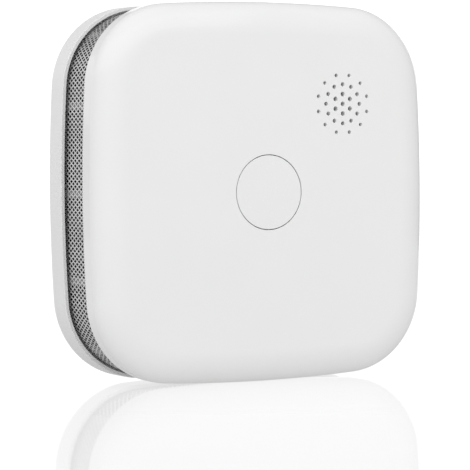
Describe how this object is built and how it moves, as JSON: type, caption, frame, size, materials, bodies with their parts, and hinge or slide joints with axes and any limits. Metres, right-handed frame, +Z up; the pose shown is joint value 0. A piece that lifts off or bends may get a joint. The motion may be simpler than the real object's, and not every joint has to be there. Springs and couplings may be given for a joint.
{
  "type": "carbon monoxide detector",
  "caption": "Square wall-mounted carbon monoxide alarm with a cushion-shaped cover, a round test button, a sounder grille and a mesh vent band round its sides.",
  "frame": {"origin": "centre of the wall plate's back face", "axes": "+Z up as mounted, +Y into the wall, the front faces -Y, +X to the right seen from the front"},
  "size_m": [0.104, 0.031, 0.104],
  "materials": {
    "cover_white": "high gloss white, softly moulded edge",
    "button_white": "satin gloss white",
    "housing_white": "satin white, fine moulded grain",
    "plate_white": "satin white, fine moulded grain",
    "frame_light": "light grey, plain moulded",
    "mesh_metal": "expanded metal mesh, satin grey",
    "board_green": "green solder mask",
    "black_plastic": "moulded black",
    "guide_clear": "milky clear",
    "led_white": "small lamp bodies",
    "solder_metal": "tinned metal",
    "ferrite_grey": "sintered dark grey",
    "capacitor_can": "drawn can",
    "sensor_case": "moulded cell case",
    "filter_felt": "porous filter disc",
    "disc_brass": "rolled brass",
    "disc_ceramic": "silvered ceramic",
    "foam_black": "closed cell foam",
    "cell_sleeve": "shrink sleeved can",
    "screw_steel": "zinc plated"
  },
  "bodies": {
    "alarm": {"rear_housing": "housing_white", "vent_frame": "frame_light", "vent_baffle": "black_plastic", "mesh_band": "mesh_metal", "front_cover": "cover_white", "light_guide": "guide_clear", "main_board": "board_green", "switch_body": "black_plastic", "status_leds": "led_white", "microcontroller": "black_plastic", "sensor_amplifier": "black_plastic", "boost_inductor": "ferrite_grey", "storage_capacitor": "capacitor_can", "chip_components": "ferrite_grey", "co_sensor_base": "black_plastic", "co_sensor_can": "sensor_case", "co_sensor_filter": "filter_felt", "co_sensor_pins": "solder_metal", "sounder_chamber": "black_plastic", "sounder_disc": "disc_brass", "sounder_ceramic": "disc_ceramic", "sounder_gasket": "foam_black", "sounder_contacts": "solder_metal", "lithium_cell": "cell_sleeve", "cell_tabs": "solder_metal", "cell_pad": "foam_black", "case_screws": "screw_steel", "board_screws": "screw_steel"},
    "wall_plate": {"wall_plate": "plate_white"},
    "test_button": {"test_button": "button_white"},
    "switch_plunger": {"switch_plunger": "button_white"}
  },
  "joints": [
    {"name": "plate_twist", "type": "hinge", "parent": "alarm", "child": "wall_plate", "pos_m": [0, 0, 0], "axis": [0, 1, 0], "range_deg": [0, 15]},
    {"name": "test_button_press", "type": "slide", "parent": "alarm", "child": "test_button", "axis": [0, 1, 0], "range_m": [0, 0.0008], "stiffness_N_per_m": 2000, "springref_m": -0.0005},
    {"name": "switch_plunger_press", "type": "slide", "parent": "alarm", "child": "switch_plunger", "axis": [0, 1, 0], "range_m": [0, 0.00025]}
  ],
  "couplings": [
    {"joint": "switch_plunger_press", "follows": "test_button_press", "ratio": 0.3}
  ]
}
